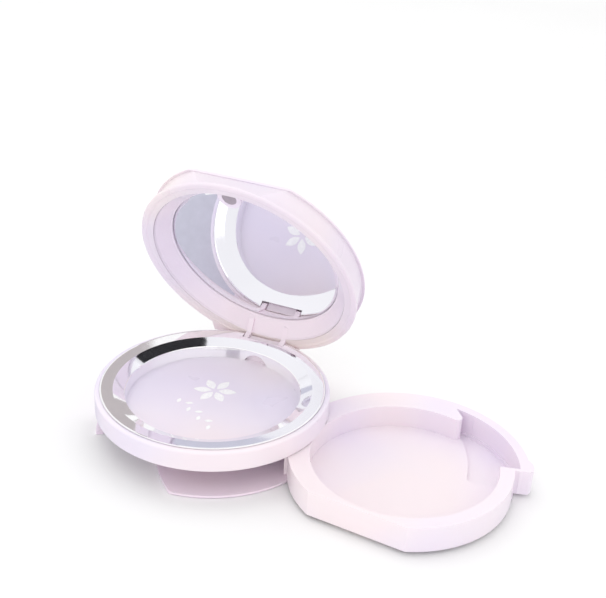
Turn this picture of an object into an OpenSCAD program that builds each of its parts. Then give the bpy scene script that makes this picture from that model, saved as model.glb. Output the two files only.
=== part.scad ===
// Round powder compact with a mirror lid and a swing-out puff tray, in millimetres.
// Origin: on the table, at the axis of the round body. +Z up, the lid hinge is at +Y.
// Drawn open: the lid leans back over its hinge and the tray is swung out to the right.

/* [Overall] */
// Diameter of the round body
disc_d = 75; // [68:0.5:90]
// Height of the underside of the upper case above the table
case_z = 10; // [9:0.5:14]
// Height of the upper case
case_h = 6.6; // [6:0.1:8]
// Height of the lid, from its rim to the cover plate
lid_h = 8; // [7.5:0.1:11]
// Angle that the lid is opened by, as drawn
lid_open = 65.4; // [0:0.1:90]
// Angle that the tray is swung out by, as drawn
tray_swing = 175.8; // [0:0.1:175.8]

/* [Base] */
// Thickness of the bottom plate
plate_t = 1.2; // [1:0.1:1.6]
// Thickness of the curved rear wall
wall_t = 1.1; // [0.9:0.05:1.2]
// Angle where the rear wall starts, on the pivot side
wall_from = 33; // [33:1:60]
// Angle where the rear wall ends, on the finger side
wall_to = 200; // [150:1:200]
// Half width of the hinge block at the rear
block_x = 20; // [17:0.5:21]

/* [Upper case] */
// Thickness of the floor of the powder well
floor_t = 1.24; // [1:0.02:1.6]
// Radius of the floor of the powder well
well_r = 27.4; // [24:0.1:28]
// Thickness of the plated ring
bezel_t = 0.5; // [0.4:0.05:0.6]
// Gap between the plated ring and the outer edge of the case
bezel_inset = 1.6; // [1.5:0.1:2.2]
// Radius of the finger notch in the well wall
notch_r = 5; // [4:0.1:6]

/* [Lid] */
// Height of the hinge axis below the lid's rim plane
hinge_drop = 1.5; // [1.4:0.05:1.8]
// Distance of the hinge axis inside the outer edge
hinge_inset = 2.8; // [2.7:0.05:3]
// Radius of the hinge pin
pin_r = 0.6; // [0.5:0.05:0.65]
// Half the distance between the two hinge ears
ear_x = 6.6; // [6:0.1:8]
// Thickness of a hinge ear
ear_t = 1.8; // [1.2:0.1:1.8]
// How far the lid's rim stands out past the body
bead_out = 0.7; // [0.3:0.1:0.8]
// Radius of the mirror
mirror_r = 29.6; // [26:0.1:30]
// Depth of the mirror behind the rim plane
mirror_depth = 5.9; // [5.6:0.1:6]
// Distance of the front flat of the lid from the axis, inside the outer edge
flat_inset = 4; // [3.6:0.1:4.2]

/* [Tray] */
// Gap between the puff tray and the case above it
tray_play = 0.3; // [0.2:0.05:0.5]
// Radius of the puff recess
recess_r = 28.8; // [25:0.1:29]
// Thickness of the tray floor
tray_floor_t = 0.8; // [0.7:0.05:1]
// Radius of the finger pocket's inner side, about the pivot
pocket_r = 50.7; // [50:0.1:52]
// Depth that the finger pocket drops through the bottom plate
pocket_drop = 1.2; // [1:0.1:1.2]

/* [Pivot] */
// Distance of the tray pivot inside the outer edge
pivot_inset = 4.44; // [4.3:0.02:4.6]
// Radius of the pivot pin
pivot_r = 1.5; // [1.2:0.1:1.6]
// Wall of the pivot bush
bush_t = 0.75; // [0.6:0.05:0.8]

/* [Hidden] */
$fn = 96;

// Clearances
running = 0.05;
gap = 0.3;
// How far a corner's rounding reaches past the sides that it blends
lap = 0.02;
big = 200;

disc_r = disc_d / 2;
case_top = case_z + case_h;
rim_z = case_top + 0.4;

// Hinge axis, parallel to X
hinge_y = disc_r - hinge_inset;
hinge_z = rim_z - hinge_drop;
ear_r = hinge_drop - running;
pin_half = ear_x + ear_t / 2 + 4.2;
// The ears' middle lies a little beside the Y axis
ear_mid = 1.2;
ear_places = [ear_mid - ear_x, ear_mid + ear_x];
// The rear of the case is cut back to here, so that the lid's rim can dip behind it
recess_y = hinge_y + pin_r + 0.45;
lid_reach = norm([disc_r + bead_out - hinge_y, hinge_drop + 1]);
ledge_z = hinge_z - lid_reach;
// Rear faces of both hinge blocks
block_y = disc_r + 0.1;

// Pivot axis of the tray, parallel to Z
pivot_angle = 3.3;
pivot_d = disc_r - pivot_inset;
pivot = [pivot_d * cos(pivot_angle), pivot_d * sin(pivot_angle)];
bush_r = pivot_r + running + bush_t;
boss_r = bush_r + 1.3;
washer_t = 0.5;
washer_r = boss_r - 0.15;
pin_head_r = pivot_r + 1.5;
pin_head_t = 0.7;

// Tray, in its closed place under the case
tray_z = plate_t + 0.2;
tray_h = case_z - tray_z - tray_play;
tray_top = tray_z + tray_h;
skin_r = disc_r - gap;
skin_t = 3;
skin_from = 200.6;
skin_to = 388;
body_r = disc_r - 3.1;
body_shift = 2;
body_c = [body_shift * cos(pivot_angle), body_shift * sin(pivot_angle)];
flat_y = disc_r - 6.7;
recess_c = [0.6, 0.6];
floor_z = tray_z + tray_floor_t;
reach_r = norm(pivot - body_c) + body_r;

// Finger pocket: bounded by a circle about the pivot and a line at an angle to X
line_angle = 21;
line_n = [-sin(line_angle), cos(line_angle)];
line_t = [cos(line_angle), sin(line_angle)];
pocket_line = -0.95;
deep_line = 2.2;
notch_line = deep_line + 0.4;
pocket_corner = 3;
nose_r = 1.7;
deep_r = pocket_r - 2.8;
notch_arc = deep_r - gap;
deep_reach = reach_r - 0.2;
tongue_in = disc_r - 2.3;
tongue_to = 213.6;
plate_corner = 2.5;

// A point where two circles meet, on the side chosen by sign
function circles_meet(c1, r1, c2, r2, side) =
    let (d = c2 - c1, n = norm(d), u = d / n,
         a = (r1 * r1 - r2 * r2 + n * n) / (2 * n), h = sqrt(r1 * r1 - a * a))
    c1 + u * a + side * h * [-u[1], u[0]];

// A point at distance d from the pivot, on the line at the given offset from the origin
function line_meets_pivot_circle(offset, d) =
    let (pn = line_n * pivot, pt = line_t * pivot)
    line_n * offset + line_t * (pt - sqrt(d * d - (offset - pn) * (offset - pn)));

// The point at distance d from a, in the direction of b
function toward(a, b, d) = a + (b - a) / norm(b - a) * d;

// Rounds an outer corner: what lies between the tip and a circle of radius r about c. The two
// sides are arcs, and from_a and from_b are the directions out of c to where it meets them.
module outer_corner(c, r, tip, from_a, from_b) {
    far = norm(tip - c) + 0.6;
    difference() {
        polygon([c, c + from_a * far, toward(c, tip, far + 1), c + from_b * far]);
        translate(c) circle(r = r);
    }
}

module hinge_turn(angle) {
    translate([0, hinge_y, hinge_z]) rotate([-angle, 0, 0]) translate([0, -hinge_y, -hinge_z]) children();
}

module pivot_turn(angle) {
    translate([pivot[0], pivot[1], 0]) rotate([0, 0, angle]) translate([-pivot[0], -pivot[1], 0]) children();
}

module at_pivot(z) {
    translate([pivot[0], pivot[1], z]) children();
}

// A flat wedge between two angles, long enough to cut any circle here
module wedge(from, to) {
    steps = 8;
    polygon(concat([[0, 0]], [for (i = [0 : steps])
        let (a = from + (to - from) * i / steps) big * [cos(a), sin(a)]]));
}

module ring_sector(r_in, r_out, from, to) {
    difference() {
        intersection() {
            circle(r = r_out);
            wedge(from, to);
        }
        circle(r = r_in);
    }
}

// Everything on the pocket's side of a line at the given offset
module beyond_line(offset) {
    rotate(line_angle) translate([-big, offset - 2 * big]) square([2 * big, 2 * big]);
}

module pivot_circle(r) {
    translate(pivot) circle(r = r);
}

// ---------------------------------------------------------------- base

module notch_outline() {
    difference() {
        intersection() {
            circle(r = disc_r + 1);
            beyond_line(notch_line);
        }
        pivot_circle(notch_arc);
    }
}

// The plate's front corner, where its edge meets the notch, rounded
module plate_corner_cut() {
    r = plate_corner - lap;
    tip = circles_meet([0, 0], disc_r, pivot, notch_arc, -1);
    c = circles_meet([0, 0], disc_r - r, pivot, notch_arc - r, -1);
    outer_corner(c, plate_corner, tip, c / norm(c), (c - pivot) / norm(c - pivot));
}

module base_shell() {
    edge = 0.5;
    color("#eddced")
    difference() {
        union() {
            difference() {
                rotate_extrude() polygon([[0, 0], [disc_r - edge, 0], [disc_r, edge], [disc_r, plate_t],
                                          [0, plate_t]]);
                translate([0, 0, -1]) linear_extrude(plate_t + 2) notch_outline();
                translate([0, 0, -1]) linear_extrude(plate_t + 2) plate_corner_cut();
            }
            linear_extrude(plate_t) ring_sector(tongue_in, disc_r, wall_to - 5, tongue_to);
            linear_extrude(case_z) ring_sector(disc_r - wall_t, disc_r, wall_from, wall_to);
            translate([-block_x, flat_y + gap, 0]) cube([2 * block_x, block_y - flat_y - gap, case_z]);
        }
        // The hinge block is hollow, and the upper case closes it
        translate([-block_x + 1.2, flat_y + gap + 1.2, plate_t])
            cube([2 * block_x - 2.4, block_y - flat_y - gap - 2.4, case_z]);
        at_pivot(-1) cylinder(r = pivot_r, h = plate_t + 2);
        at_pivot(-1) cylinder(r = pin_head_r + 0.1, h = 1 + pin_head_t + 0.1);
    }
}

// ---------------------------------------------------------------- upper case

bezel_r = disc_r - bezel_inset;
band_r = bezel_r - 4.2;
seat_r = well_r + 1.25;
channel_in = seat_r + 1.3;
magnet_r = 2.5;
magnet_h = 2;
magnet_d = disc_r - 4.2;
magnet_z = rim_z - bezel_t - 1.2 - magnet_h;

module upper_case_profile() {
    deck_z = rim_z - bezel_t;
    polygon([[0, case_z], [channel_in, case_z], [channel_in, case_z + 3.2], [band_r + 0.6, deck_z - 1.7],
             [disc_r - 1.25, deck_z - 1.4], [disc_r - 1.25, case_z], [disc_r, case_z],
             [disc_r, case_top - 0.8], [disc_r - 0.1, case_top - 0.45], [disc_r - 0.35, case_top - 0.15],
             [disc_r - 0.7, case_top], [bezel_r + 0.15, case_top], [bezel_r + 0.15, deck_z - 0.12],
             [bezel_r, deck_z - 0.12], [band_r, deck_z - 0.55], [seat_r, deck_z - 2.05],
             [seat_r, case_z + floor_t], [0, case_z + floor_t]]);
}

slot_w = ear_t + 2 * gap;

module hinge_slots() {
    for (x = ear_places) {
        translate([x - slot_w / 2, hinge_y, hinge_z]) rotate([0, 90, 0])
            cylinder(r = ear_r + gap, h = slot_w);
        translate([x - slot_w / 2, hinge_y - ear_r - gap, hinge_z]) cube([slot_w, 6, 4]);
        translate([x - slot_w / 2, hinge_y, hinge_z - ear_r - gap]) cube([slot_w, 6, 6]);
    }
}

// One opening in the plated ring lets both ears through
module ring_opening() {
    translate([ear_places[0] - slot_w / 2, hinge_y - ear_r - gap, case_z])
        cube([2 * ear_x + slot_w, 10, case_h + 5]);
}

module upper_case() {
    color("#ece5f3")
    difference() {
        union() {
            rotate_extrude() upper_case_profile();
            at_pivot(case_z) cylinder(r = boss_r, h = case_h - 1.4);
            translate([0, -magnet_d, case_z]) cylinder(r = magnet_r + 0.9, h = magnet_z + 1.2 - case_z);
            // Solid bar that carries the hinge pin
            translate([ear_mid - pin_half - 1, band_r - 0.4, case_z])
                cube([2 * pin_half + 2, recess_y - band_r + 0.4, case_h - 0.95]);
            // Lower hinge block
            translate([-block_x, disc_r - 6, case_z]) cube([2 * block_x, block_y - disc_r + 6, 1.5]);
        }
        translate([-block_x - 0.6, recess_y, ledge_z]) cube([2 * block_x + 1.2, 10, 10]);
        hinge_slots();
        translate([ear_mid - pin_half, hinge_y, hinge_z]) rotate([0, 90, 0])
            cylinder(r = pin_r, h = 2 * pin_half);
        at_pivot(case_z - 1) cylinder(r = pivot_r, h = 4.5);
        translate([0, -magnet_d, magnet_z]) cylinder(r = magnet_r, h = 5);
    }
}

notch_x = 1.6;

module bezel_ring() {
    top = rim_z;
    floor_top = case_z + floor_t;
    color("#c9c9cf")
    difference() {
        rotate_extrude() polygon([[bezel_r, top - bezel_t - 0.05], [bezel_r, top - 0.15], [bezel_r - 0.2, top],
            [bezel_r - 0.5, top], [band_r + 0.1, top - 0.42], [band_r - 0.35, top - 0.62],
            [well_r + 0.8, top - 2.0], [well_r + 0.65, top - 2.2], [well_r, floor_top + 0.02],
            [well_r + 0.5, floor_top + 0.02], [well_r + 1.18, top - 2.5],
            [band_r + 0.02, top - bezel_t - 0.52]]);
        ring_opening();
        translate([notch_x, well_r - 2, floor_top - notch_r / 2]) rotate([-90, 0, 0])
            cylinder(r = notch_r, h = 5);
        translate([-block_x, recess_y, case_z]) cube([2 * block_x, 10, case_h + 5]);
    }
}

module case_magnet() {
    color("#8f8f96")
    translate([0, -magnet_d, magnet_z]) cylinder(r = magnet_r, h = magnet_h);
}

module hinge_pin() {
    color("#b5b7bd")
    translate([ear_mid - pin_half, hinge_y, hinge_z]) rotate([0, 90, 0])
        cylinder(r = pin_r, h = 2 * pin_half);
}

// ---------------------------------------------------------------- pivot

module pivot_pin() {
    color("#b5b7bd") {
        at_pivot(0.1) cylinder(r = pivot_r, h = case_z + 3.3 - 0.1);
        at_pivot(0.1) cylinder(r = pin_head_r, h = pin_head_t);
    }
}

module washer(z) {
    at_pivot(z) difference() {
        cylinder(r = washer_r, h = washer_t);
        translate([0, 0, -1]) cylinder(r = pivot_r + 0.02, h = washer_t + 2);
    }
}

module pivot_washer_lower() {
    color("#e8e8e8") washer(plate_t);
}

module pivot_washer_upper() {
    color("#e8e8e8") washer(case_z - washer_t);
}

module pivot_bush_closed() {
    low = plate_t + washer_t + running;
    high = case_z - washer_t - running;
    at_pivot(low) difference() {
        cylinder(r = bush_r, h = high - low);
        translate([0, 0, -1]) cylinder(r = pivot_r + running, h = high - low + 2);
    }
}

// ---------------------------------------------------------------- puff tray

module body_outline() {
    intersection() {
        translate(body_c) circle(r = body_r);
        translate([-big, flat_y - 2 * big]) square([2 * big, 2 * big]);
    }
}

// Outer outline of the tray: the thick body, the curved skin and the finger tab at its end
module tray_outline() {
    tab = [[33.8, 200.3], [37.4, 201.3], [38.1, 202.6], [38.4, 204.3], [38.2, 206.8], [37.4, 210], [34, 211]];
    body_outline();
    intersection() {
        circle(r = skin_r);
        wedge(skin_from, skin_to);
    }
    polygon([for (p = tab) (p[0] + disc_r - 37.5) * [cos(p[1]), sin(p[1])]]);
}

// Finger pocket: past the circle about the pivot, on one side of the line, inside the skin. The
// inset is from the skin, and the reach is about the pivot.
module pocket_outline(inset, reach) {
    r = pocket_corner - lap;
    corner_c = line_meets_pivot_circle(pocket_line - r, pocket_r + r);
    corner = line_meets_pivot_circle(pocket_line, pocket_r);
    difference() {
        intersection() {
            circle(r = skin_r - skin_t - inset);
            beyond_line(pocket_line);
            pivot_circle(reach);
        }
        pivot_circle(pocket_r);
        outer_corner(corner_c, pocket_corner, corner, line_n, (pivot - corner_c) / norm(pivot - corner_c));
    }
}

// The rim's end beside the pocket, rounded
module nose_cut() {
    r = nose_r - lap;
    tip = circles_meet(recess_c, recess_r, pivot, pocket_r, -1);
    c = circles_meet(recess_c, recess_r + r, pivot, pocket_r - r, -1);
    outer_corner(c, nose_r, tip, (recess_c - c) / norm(recess_c - c), (c - pivot) / norm(c - pivot));
}

module deep_outline() {
    difference() {
        intersection() {
            circle(r = tongue_in - 0.6);
            pivot_circle(deep_reach);
            beyond_line(deep_line);
        }
        pivot_circle(deep_r);
    }
}

// Hollow under the thick rim
module core_outline() {
    core_wall = 1.3;
    difference() {
        intersection() {
            translate(body_c) circle(r = body_r - core_wall);
            translate([-big, flat_y - core_wall - 2 * big]) square([2 * big, 2 * big]);
            wedge(-78, 178);
        }
        translate(recess_c) circle(r = recess_r + core_wall);
        pivot_circle(boss_r);
    }
}

module tray_closed() {
    deep_z = tray_z - pocket_drop;
    difference() {
        union() {
            translate([0, 0, tray_z]) linear_extrude(tray_h) tray_outline();
            translate([0, 0, deep_z]) linear_extrude(pocket_drop + 0.4) deep_outline();
        }
        translate([recess_c[0], recess_c[1], floor_z]) cylinder(r = recess_r, h = tray_h);
        translate([0, 0, floor_z]) linear_extrude(tray_h) pocket_outline(0, big);
        translate([0, 0, floor_z]) linear_extrude(tray_h) nose_cut();
        translate([0, 0, deep_z + tray_floor_t]) linear_extrude(tray_h) pocket_outline(0.3, deep_reach - 1);
        translate([0, 0, tray_z - 1]) linear_extrude(tray_h - 0.1) core_outline();
        at_pivot(-1) cylinder(r = bush_r, h = case_z + 2);
        at_pivot(plate_t) cylinder(r = washer_r + 0.15, h = washer_t + running);
        at_pivot(case_z - washer_t - running) cylinder(r = washer_r + 0.15, h = 2);
    }
}

module tray_shell() {
    color("#f2e7ef") pivot_turn(tray_swing) tray_closed();
}

module pivot_bush() {
    color("#d9d9d9") pivot_turn(tray_swing) pivot_bush_closed();
}

// ---------------------------------------------------------------- lid

cover_t = 1;
drum_r = disc_r - 0.5;
drum_t = 1.1;
ceiling_t = 0.8;
lid_top = rim_z + lid_h;
ceiling_z = lid_top - ceiling_t;
mirror_z = rim_z + mirror_depth;
tape_t = 0.2;
lid_flat = disc_r - flat_inset;
bead_r = disc_r + bead_out;
bead = 1.3;
flat_wall = 0.7;
flat_lean = atan2(flat_inset - 1.7, lid_h - bead);
// The seam between the lid's shell and its inner frame
seam_r = disc_r - 3.5;
boss_lid_r = 4;
boss_lid_x = -1.6;
boss_lid_d = disc_r - 7.4;
boss_lid_z = rim_z + 3;

// Keeps what lies behind the lid's front flat, which leans out towards the rim
module behind_flat(inset) {
    translate([0, -lid_flat + inset, lid_top]) rotate([-flat_lean, 0, 0])
        translate([-big, 0, -big]) cube([2 * big, 2 * big, 2 * big]);
}

module lid_shell_closed() {
    inner = drum_r - drum_t;
    lug_z = rim_z + 0.6;
    lug_right = block_x - 7;
    difference() {
        union() {
            // Rim bead, which stays round
            rotate_extrude() polygon([[seam_r, rim_z + 0.5], [inner, rim_z + 0.32], [inner + 0.6, rim_z],
                [bead_r - 0.5, rim_z], [bead_r - 0.15, rim_z + 0.2], [bead_r, rim_z + 0.55],
                [bead_r, rim_z + bead - 0.4], [bead_r - 0.4, rim_z + bead], [drum_r, rim_z + bead + 0.2],
                [inner, rim_z + bead + 0.7], [inner, rim_z + bead], [seam_r, rim_z + bead - 0.1]]);
            // Drum wall and ceiling
            intersection() {
                rotate_extrude() polygon([[inner, rim_z + bead], [drum_r, rim_z + bead],
                    [drum_r, lid_top - 1], [drum_r + 0.2, lid_top], [0, lid_top], [0, ceiling_z],
                    [inner, ceiling_z]]);
                behind_flat(0);
            }
            // Wall behind the flat
            intersection() {
                translate([0, 0, rim_z + bead - 0.3]) cylinder(r = drum_r, h = lid_h - bead + 0.3);
                difference() {
                    behind_flat(0);
                    behind_flat(flat_wall);
                }
            }
            // Upper hinge block
            difference() {
                translate([-block_x, disc_r - 8, lug_z])
                    cube([block_x + lug_right, block_y - disc_r + 8, lid_top - lug_z]);
                translate([0, 0, rim_z - 1]) cylinder(r = inner + 0.4, h = lid_h + 2);
            }
        }
        // The frame's ears pass through the rim
        for (x = ear_places) translate([x - ear_t / 2 - 0.05, disc_r - 6, rim_z - 1])
            cube([ear_t + 0.1, ear_back + 0.1 - disc_r + 6, 3.2]);
    }
}

// Rear edge of the ears where they pass through the rim
ear_back = hinge_y + 0.4;

module ear(x) {
    edge_z = mirror_z - 0.3;
    top = rim_z + 0.3;
    translate([x - ear_t / 2, 0, 0]) rotate([90, 0, 90]) linear_extrude(ear_t) {
        polygon([[mirror_r + 0.4, edge_z], [mirror_r + 0.8, edge_z - 1.9], [hinge_y - ear_r, top],
                 [hinge_y - ear_r, hinge_z], [hinge_y + ear_r, hinge_z], [hinge_y + ear_r - 0.3, rim_z - 0.9],
                 [ear_back, rim_z - 0.05], [ear_back, rim_z + 1.2],
                 [hinge_y - 0.3, rim_z + 2.4]]);
        translate([hinge_y, hinge_z]) circle(r = ear_r);
    }
}

module lid_frame_closed() {
    inner = drum_r - drum_t - 0.05;
    seat = mirror_r + 0.15;
    difference() {
        union() {
            intersection() {
                // Sloping ring between the rim and the mirror
                rotate_extrude() polygon([[seam_r - 0.1, rim_z + 0.7], [seam_r - 0.4, rim_z + 1.4],
                    [seat + 0.4, mirror_z - 0.4], [seat, mirror_z - 0.1], [seat, ceiling_z],
                    [seat + 1.2, ceiling_z], [seat + 1.2, mirror_z + 0.6], [seam_r + 0.3, rim_z + 2.2],
                    [inner, rim_z + 2.2], [inner, rim_z + bead + 0.03], [seam_r - 0.1, rim_z + bead + 0.03]]);
                behind_flat(flat_wall + 0.05);
            }
            for (x = ear_places) ear(x);
            // Boss of the lid magnet, in front of the mirror's edge
            intersection() {
                translate([boss_lid_x, -boss_lid_d, boss_lid_z])
                    cylinder(r = boss_lid_r, h = mirror_z - boss_lid_z - 0.02);
                behind_flat(flat_wall + 0.05);
            }
        }
        for (x = ear_places) translate([x - ear_t, hinge_y, hinge_z]) rotate([0, 90, 0])
            cylinder(r = pin_r + running, h = 2 * ear_t);
        translate([boss_lid_x, -boss_lid_d, boss_lid_z - 1]) cylinder(r = magnet_r, h = 1.1 + magnet_h);
    }
}

module lid_cover_closed() {
    intersection() {
        rotate_extrude() polygon([[0, lid_top], [disc_r + 0.4, lid_top], [disc_r + 0.5, lid_top + 0.3],
            [disc_r + 0.2, lid_top + 0.8], [disc_r - 0.5, lid_top + cover_t], [0, lid_top + cover_t]]);
        translate([-big, -lid_flat - 0.2, 0]) cube([2 * big, 2 * big, big]);
    }
}

module mirror_closed() {
    bevel = 0.8;
    translate([0, 0, mirror_z]) rotate_extrude()
        polygon([[0, 0], [mirror_r - bevel, 0], [mirror_r, 0.4], [mirror_r, ceiling_z - tape_t - mirror_z],
                 [0, ceiling_z - tape_t - mirror_z]]);
}

module lid_shell() {
    color("#f4e9ea") hinge_turn(lid_open) lid_shell_closed();
}

module lid_frame() {
    color("#f6ebf2") hinge_turn(lid_open) lid_frame_closed();
}

module lid_cover() {
    color("#f4e9ea") hinge_turn(lid_open) lid_cover_closed();
}

module mirror_glass() {
    color("#d2d3dc") hinge_turn(lid_open) mirror_closed();
}

module mirror_tape() {
    color("#8a8a8a") hinge_turn(lid_open)
        translate([0, 0, ceiling_z - tape_t]) cylinder(r = mirror_r - 2, h = tape_t);
}

module lid_magnet() {
    color("#8f8f96") hinge_turn(lid_open)
        translate([boss_lid_x, -boss_lid_d, boss_lid_z + 0.1]) cylinder(r = magnet_r, h = magnet_h);
}

base_shell();
upper_case();
bezel_ring();
case_magnet();
hinge_pin();
pivot_pin();
pivot_washer_lower();
pivot_washer_upper();
tray_shell();
pivot_bush();
lid_shell();
lid_frame();
lid_cover();
mirror_glass();
mirror_tape();
lid_magnet();
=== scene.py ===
"""Looks of a round powder compact: pearl plastic, plated ring, bevelled mirror, soft studio."""

import math

import bmesh
import bpy
from mathutils import Matrix, Vector


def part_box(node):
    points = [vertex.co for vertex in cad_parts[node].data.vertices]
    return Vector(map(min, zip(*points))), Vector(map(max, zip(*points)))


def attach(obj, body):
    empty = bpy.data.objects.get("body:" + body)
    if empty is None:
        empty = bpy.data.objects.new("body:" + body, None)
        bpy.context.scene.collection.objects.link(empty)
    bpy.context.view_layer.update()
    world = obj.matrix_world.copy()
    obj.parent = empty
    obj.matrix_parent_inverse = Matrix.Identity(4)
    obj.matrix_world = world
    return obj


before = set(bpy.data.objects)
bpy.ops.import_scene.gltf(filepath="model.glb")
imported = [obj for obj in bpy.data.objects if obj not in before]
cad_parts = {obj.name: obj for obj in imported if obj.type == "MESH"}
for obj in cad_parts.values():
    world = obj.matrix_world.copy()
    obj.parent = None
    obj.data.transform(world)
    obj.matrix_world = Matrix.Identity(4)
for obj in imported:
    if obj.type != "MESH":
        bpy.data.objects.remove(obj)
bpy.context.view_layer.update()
MM = 0.001


# ---------------------------------------------------------------- node helpers

class Nodes:
    """A short way to build one material's node tree."""

    def __init__(self, name):
        self.material = bpy.data.materials.new(name)
        self.material.use_nodes = True
        self.tree = self.material.node_tree
        self.shader = self.tree.nodes["Principled BSDF"]
        self.coords = self.add("ShaderNodeTexCoord").outputs["Object"]

    def add(self, kind, **values):
        node = self.tree.nodes.new(kind)
        for key, value in values.items():
            if hasattr(node, key):
                setattr(node, key, value)
            else:
                node.inputs[key].default_value = value
        return node

    def link(self, out, into):
        self.tree.links.new(out, into)

    def noise(self, scale, detail=3.0, stretch=None):
        """Noise in metres: scale is features per metre."""
        node = self.add("ShaderNodeTexNoise")
        node.inputs["Scale"].default_value = scale
        node.inputs["Detail"].default_value = detail
        source = self.coords
        if stretch:
            mapping = self.add("ShaderNodeMapping")
            mapping.inputs["Scale"].default_value = stretch
            self.link(source, mapping.inputs["Vector"])
            source = mapping.outputs["Vector"]
        self.link(source, node.inputs["Vector"])
        return node.outputs["Fac"]

    def ramp(self, factor, stops):
        node = self.add("ShaderNodeValToRGB")
        ramp = node.color_ramp
        while len(ramp.elements) < len(stops):
            ramp.elements.new(0.5)
        for element, (place, colour) in zip(ramp.elements, stops):
            element.position = place
            element.color = (*colour, 1.0)
        self.link(factor, node.inputs["Fac"])
        return node.outputs["Color"]

    def spread(self, factor, low, high):
        """Maps a 0.3 to 0.7 noise to the range low to high."""
        node = self.add("ShaderNodeMapRange")
        node.inputs["From Min"].default_value = 0.3
        node.inputs["From Max"].default_value = 0.7
        node.inputs["To Min"].default_value = low
        node.inputs["To Max"].default_value = high
        self.link(factor, node.inputs["Value"])
        return node.outputs["Result"]

    def bump(self, heights, distance, strength=1.0):
        """Chains bumps from (height output, share) pairs."""
        normal = None
        for height, share in heights:
            node = self.add("ShaderNodeBump")
            node.inputs["Strength"].default_value = strength * share
            node.inputs["Distance"].default_value = distance
            self.link(height, node.inputs["Height"])
            if normal:
                self.link(normal, node.inputs["Normal"])
            normal = node.outputs["Normal"]
        self.link(normal, self.shader.inputs["Normal"])

    def set(self, **values):
        for key, value in values.items():
            self.shader.inputs[key.replace("_", " ")].default_value = value


# Features per metre of the slow drifts in the plastic: its tint, and the unevenness of its surface
TINT_DRIFT = 22.0
ROUGHNESS_DRIFT = 70.0
SURFACE_DRIFT = 60.0


def pearl(name, cool, mid, warm, rough=0.3, coat=0.35, glow=0.12):
    """Moulded plastic with a pearl pigment that drifts between a cool and a warm tint."""
    m = Nodes(name)
    drift = m.noise(TINT_DRIFT, 1.5)
    colour = m.ramp(drift, [(0.36, cool), (0.5, mid), (0.64, warm)])
    m.link(colour, m.shader.inputs["Base Color"])
    m.link(m.spread(m.noise(ROUGHNESS_DRIFT, 2.0), rough - 0.03, rough + 0.04), m.shader.inputs["Roughness"])
    m.bump([(m.noise(SURFACE_DRIFT, 1.0), 0.3)], 0.00003, 0.5)
    m.set(Coat_Weight=coat, Coat_Roughness=0.12, Sheen_Weight=0.05,
          Subsurface_Weight=glow, Subsurface_Scale=0.002, Subsurface_Radius=(1.0, 0.8, 0.9))
    return m.material


def plated(name, tint, rough):
    """Vacuum plating: bright, with a faint ripple from the moulding under it."""
    m = Nodes(name)
    m.link(m.ramp(m.noise(35.0, 2.0), [(0.3, tint), (0.7, tuple(min(1.0, c * 1.04) for c in tint))]),
           m.shader.inputs["Base Color"])
    m.link(m.spread(m.noise(420.0, 5.0), rough, rough * 2.2), m.shader.inputs["Roughness"])
    m.bump([(m.noise(140.0, 2.0), 0.25), (m.noise(2600.0, 2.0), 0.05)], 0.00003, 0.5)
    m.set(Metallic=1.0)
    return m.material


def mirror_silver():
    """Silvered glass, with the faintest unevenness in its polish."""
    m = Nodes("mirror_silver")
    m.link(m.ramp(m.noise(25.0, 1.0), [(0.35, (0.88, 0.88, 0.92)), (0.65, (0.90, 0.90, 0.94))]),
           m.shader.inputs["Base Color"])
    m.link(m.spread(m.noise(260.0, 6.0), 0.012, 0.05), m.shader.inputs["Roughness"])
    m.set(Metallic=1.0)
    return m.material


def turned_steel(name, tint, rough=0.3):
    """Plain metal with fine turning marks."""
    m = Nodes(name)
    m.link(m.ramp(m.noise(500.0, 3.0), [(0.3, tint), (0.7, tuple(c * 1.15 for c in tint))]),
           m.shader.inputs["Base Color"])
    m.link(m.spread(m.noise(900.0, 3.0, (1.0, 1.0, 8.0)), rough - 0.08, rough + 0.1),
           m.shader.inputs["Roughness"])
    m.bump([(m.noise(2500.0, 2.0, (1.0, 1.0, 10.0)), 0.2)], 0.00003, 0.5)
    m.set(Metallic=1.0)
    return m.material


def plain_polymer(name, tint, rough):
    """Matt one-colour plastic, foam or card."""
    m = Nodes(name)
    m.link(m.ramp(m.noise(300.0, 3.0), [(0.3, tuple(c * 0.94 for c in tint)), (0.7, tint)]),
           m.shader.inputs["Base Color"])
    m.link(m.spread(m.noise(800.0, 3.0), rough - 0.06, rough + 0.08), m.shader.inputs["Roughness"])
    m.bump([(m.noise(3000.0, 3.0), 0.3)], 0.00003, 0.5)
    return m.material


def printed_ink():
    """Opaque white print with a slightly uneven lay."""
    m = Nodes("printed_ink")
    m.link(m.ramp(m.noise(1200.0, 3.0), [(0.3, (0.93, 0.92, 0.95)), (0.6, (1.0, 1.0, 1.0))]),
           m.shader.inputs["Base Color"])
    m.link(m.spread(m.noise(2500.0, 3.0), 0.22, 0.38), m.shader.inputs["Roughness"])
    m.bump([(m.noise(6000.0, 2.0), 0.2)], 0.00002, 0.5)
    return m.material


def studio_paper():
    """Pale seamless paper."""
    m = Nodes("studio_paper")
    m.link(m.ramp(m.noise(6.0, 2.0), [(0.3, (0.90, 0.90, 0.90)), (0.7, (0.92, 0.92, 0.92))]),
           m.shader.inputs["Base Color"])
    m.set(Roughness=0.75, Specular_IOR_Level=0.15)
    return m.material


# ---------------------------------------------------------------- CAD nodes

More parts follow.
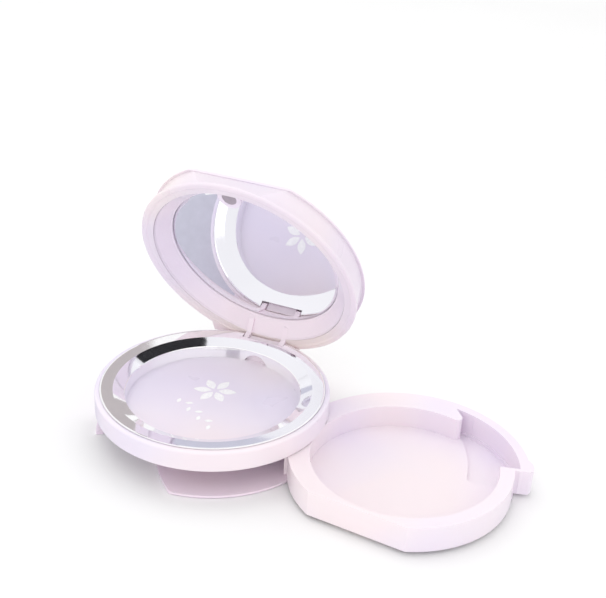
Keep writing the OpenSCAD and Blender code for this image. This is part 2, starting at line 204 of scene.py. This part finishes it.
SHELL = pearl("pearl_case", (0.81, 0.75, 0.89), (0.86, 0.79, 0.89), (0.90, 0.80, 0.85))
LID = pearl("pearl_lid", (0.81, 0.73, 0.84), (0.86, 0.76, 0.81), (0.90, 0.79, 0.77))
INNER = pearl("pearl_lid_inside", (0.86, 0.77, 0.90), (0.91, 0.80, 0.90), (0.94, 0.81, 0.88),
              rough=0.34)
# Painted light: the base's pearl is made lighter than the case's pearl to offset the shade of the bay where
# its floor lies
PLATE_PAINTED_LIGHT = pearl("pearl_base_painted_light", (0.90, 0.77, 0.91), (0.93, 0.79, 0.91), (0.95, 0.80, 0.89))
TRAY = pearl("pearl_tray", (0.84, 0.76, 0.88), (0.88, 0.79, 0.86), (0.91, 0.80, 0.83),
             rough=0.4, coat=0.2)

FINISHES = {
    "upper_case": SHELL,
    "base_shell": PLATE_PAINTED_LIGHT,
    "tray_shell": TRAY,
    "lid_shell": LID,
    "lid_cover": LID,
    "lid_frame": INNER,
    "bezel_ring": plated("plated_ring", (0.955, 0.95, 0.965), 0.03),
    "mirror_glass": mirror_silver(),
    "mirror_tape": plain_polymer("foam_tape", (0.30, 0.30, 0.31), 0.8),
    "hinge_pin": turned_steel("pin_steel", (0.60, 0.60, 0.62)),
    "pivot_pin": turned_steel("pivot_steel", (0.62, 0.62, 0.64), 0.26),
    "case_magnet": turned_steel("magnet_nickel", (0.42, 0.39, 0.42), 0.4),
    "lid_magnet": turned_steel("lid_magnet_nickel", (0.47, 0.42, 0.45), 0.42),
    "pivot_bush": plain_polymer("bush_acetal", (0.85, 0.85, 0.84), 0.45),
    "pivot_washer_lower": plain_polymer("washer_lower", (0.82, 0.82, 0.83), 0.5),
    "pivot_washer_upper": plain_polymer("washer_upper", (0.84, 0.84, 0.84), 0.5),
}
for name, finish in FINISHES.items():
    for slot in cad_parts[name].material_slots:
        slot.material = finish

# Moulded and plated edges are never sharp: a small rounding, in millimetres, that catches the light
EDGE_ANGLE = math.radians(28.0)
EDGES = {"upper_case": 0.2, "base_shell": 0.25, "tray_shell": 0.25, "lid_shell": 0.2, "lid_cover": 0.15,
         "lid_frame": 0.2, "bezel_ring": 0.12, "lid_magnet": 0.1}
for name, width in EDGES.items():
    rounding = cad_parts[name].modifiers.new("edge", "BEVEL")
    rounding.width = width * MM
    rounding.segments = 3
    rounding.limit_method = "ANGLE"
    rounding.angle_limit = EDGE_ANGLE
    rounding.harden_normals = True


# ---------------------------------------------------------------- added pieces

def sheet_piece(name, loops, top, thickness, finish, body):
    """A flat printed piece: closed outlines in millimetres, filled and given a thickness."""
    mesh = bpy.data.meshes.new(name)
    bm = bmesh.new()
    for outline in loops:
        low = [bm.verts.new((x * MM, y * MM, (top - thickness) * MM)) for x, y in outline]
        high = [bm.verts.new((x * MM, y * MM, top * MM)) for x, y in outline]
        bm.faces.new(high)
        bm.faces.new(list(reversed(low)))
        for i in range(len(low)):
            j = (i + 1) % len(low)
            bm.faces.new((low[i], low[j], high[j], high[i]))
    bmesh.ops.recalc_face_normals(bm, faces=bm.faces)
    bm.to_mesh(mesh)
    bm.free()
    mesh.materials.append(finish)
    piece = bpy.data.objects.new(name, mesh)
    bpy.context.scene.collection.objects.link(piece)
    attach(piece, body)
    return piece


def petal(cx, cy, length, width, angle):
    """A pointed leaf outline with its root at (cx, cy)."""
    steps = 14
    side = [(i / steps, math.sin(math.pi * (i / steps)) ** 0.9) for i in range(steps + 1)]
    points = [(length * t, width / 2 * w) for t, w in side]
    points += [(length * t, -width / 2 * w) for t, w in reversed(side[1:-1])]
    c, s = math.cos(angle), math.sin(angle)
    return [(cx + x * c - y * s, cy + x * s + y * c) for x, y in points]


# The well's floor is the floor of the upper case's moulding
WELL_FLOOR_T = 1.24
well_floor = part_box("upper_case")[0][2] / MM + WELL_FLOOR_T
# Height of the print's face above the floor, and its thickness
PRINT_LIFT = 0.05
PRINT_T = 0.04


def floor_print():
    """A generic blossom with a row of leaves under it, printed on the powder well's floor."""
    ink = printed_ink()
    cx, cy = -2.0, 5.0
    petals, heart_r, petal_length, petal_width = 6, 1.1, 6.0, 3.0
    turns = [math.tau * i / petals + 0.3 for i in range(petals)]
    blossom = [petal(cx + heart_r * math.cos(a), cy + heart_r * math.sin(a), petal_length, petal_width, a)
               for a in turns]
    row = []
    start, end, count = Vector((-9.5, -4.4)), Vector((6.2, -13.6)), 7
    along = math.atan2(end.y - start.y, end.x - start.x)
    for i in range(count):
        place = start.lerp(end, i / (count - 1))
        row.append(petal(place.x, place.y, 2.6, 1.3, along + (0.9 if i % 2 else -0.9)))
    sheet_piece("well_print", blossom + row, well_floor + PRINT_LIFT, PRINT_T, ink, "base")


floor_print()


# ---------------------------------------------------------------- camera, lights, floor

# The camera's place in metres, the way it points in degrees, and its lens in millimetres
EYE = (0.1426, -0.2648, 0.2015)
AZIMUTH, PITCH, ROLL = 23.1, 26.95, 2.99
LENS = 65.05


def look_matrix(place, azimuth, pitch, roll):
    """A camera's matrix: azimuth from +Y towards -X, pitch below level, roll about the view line."""
    forward = Vector((-math.sin(azimuth) * math.cos(pitch), math.cos(azimuth) * math.cos(pitch),
                      -math.sin(pitch)))
    right = Vector((math.cos(azimuth), math.sin(azimuth), 0.0))
    up = right.cross(forward)
    right_rolled = right * math.cos(roll) + up * math.sin(roll)
    up_rolled = up * math.cos(roll) - right * math.sin(roll)
    matrix = Matrix((right_rolled, up_rolled, -forward)).transposed().to_4x4()
    matrix.translation = place
    return matrix


def camera():
    data = bpy.data.cameras.new("camera")
    data.lens = LENS
    data.sensor_width = 36.0
    data.sensor_fit = "HORIZONTAL"
    data.clip_start = 0.01
    data.clip_end = 20.0
    eye = bpy.data.objects.new("camera", data)
    eye.matrix_world = look_matrix(Vector(EYE), math.radians(AZIMUTH), math.radians(PITCH),
                                   math.radians(ROLL))
    bpy.context.scene.collection.objects.link(eye)
    bpy.context.scene.camera = eye


def soft_light(name, place, aim, size, power):
    data = bpy.data.lights.new(name, "AREA")
    data.shape = "RECTANGLE"
    data.size, data.size_y = size
    data.energy = power
    lamp = bpy.data.objects.new(name, data)
    lamp.location = place
    lamp.rotation_euler = (Vector(aim) - Vector(place)).to_track_quat("-Z", "Y").to_euler()
    bpy.context.scene.collection.objects.link(lamp)
    return lamp


def grid_panel(name, width, depth, place, aim, finish):
    mesh = bpy.data.meshes.new(name)
    bm = bmesh.new()
    bmesh.ops.create_grid(bm, x_segments=4, y_segments=4, size=0.5)
    bmesh.ops.scale(bm, vec=(width, depth, 1.0), verts=bm.verts)
    bm.to_mesh(mesh)
    bm.free()
    mesh.materials.append(finish)
    panel = bpy.data.objects.new(name, mesh)
    panel.location = place
    if aim is not None:
        panel.rotation_euler = (Vector(aim) - Vector(place)).to_track_quat("Z", "Y").to_euler()
    bpy.context.scene.collection.objects.link(panel)
    return panel


# Cards that only reflections see, as used to give plating and glass their darker areas
CARDS = [
    ("black_card", (0.012, 0.012, 0.014), (0.03, -0.62, 0.20), (0.0, 0.0, 0.06), (0.20, 0.34)),
    ("taupe_card", (0.50, 0.46, 0.47), (-0.20, 0.42, 0.20), (0.0, 0.0, 0.02), (0.16, 0.30)),
    ("grey_card", (0.58, 0.58, 0.66), (-0.085, 0.03, -0.00002), None, (0.23, 0.26)),
]

# Lamps: name, place, aim, size, power, and whether reflections show them
LAMPS = [
    ("key", (-0.25, 0.15, 0.75), (0.02, 0.0, 0.0), (0.7, 0.7), 0.9, True),
    ("fill", (0.7, -0.55, 0.6), (0.03, 0.0, 0.02), (0.8, 0.6), 0.3, True),
    ("front_high", (0.18, -0.55, 0.75), (0.0, 0.0, 0.01), (0.5, 0.3), 0.3, False),
    ("front_low", (0.05, -0.75, 0.16), (0.0, 0.0, 0.01), (0.5, 0.3), 0.3, False),
]
SKY_STRENGTH = 1.02
FLOOR_SIZE = 6.0


def studio():
    """Pale floor, even white surroundings, soft lamps and the reflected cards."""
    scene = bpy.context.scene
    scene.view_settings.view_transform = "Standard"
    world = bpy.data.worlds.new("studio")
    scene.world = world
    world.use_nodes = True
    background = world.node_tree.nodes["Background"]
    background.inputs["Color"].default_value = (1.0, 1.0, 1.0, 1.0)
    background.inputs["Strength"].default_value = SKY_STRENGTH
    grid_panel("floor", FLOOR_SIZE, FLOOR_SIZE, (0.0, 0.0, -0.00005), None, studio_paper())
    for name, place, aim, size, power, reflected in LAMPS:
        lamp = soft_light(name, place, aim, size, power)
        lamp.visible_glossy = reflected
    for name, tint, place, aim, size in CARDS:
        finish = plain_polymer(name, tint, 0.9)
        card = grid_panel(name, size[0], size[1], place, aim, finish)
        card.visible_camera = False
        card.visible_diffuse = False
        card.visible_shadow = False
        card.visible_transmission = False


camera()
studio()
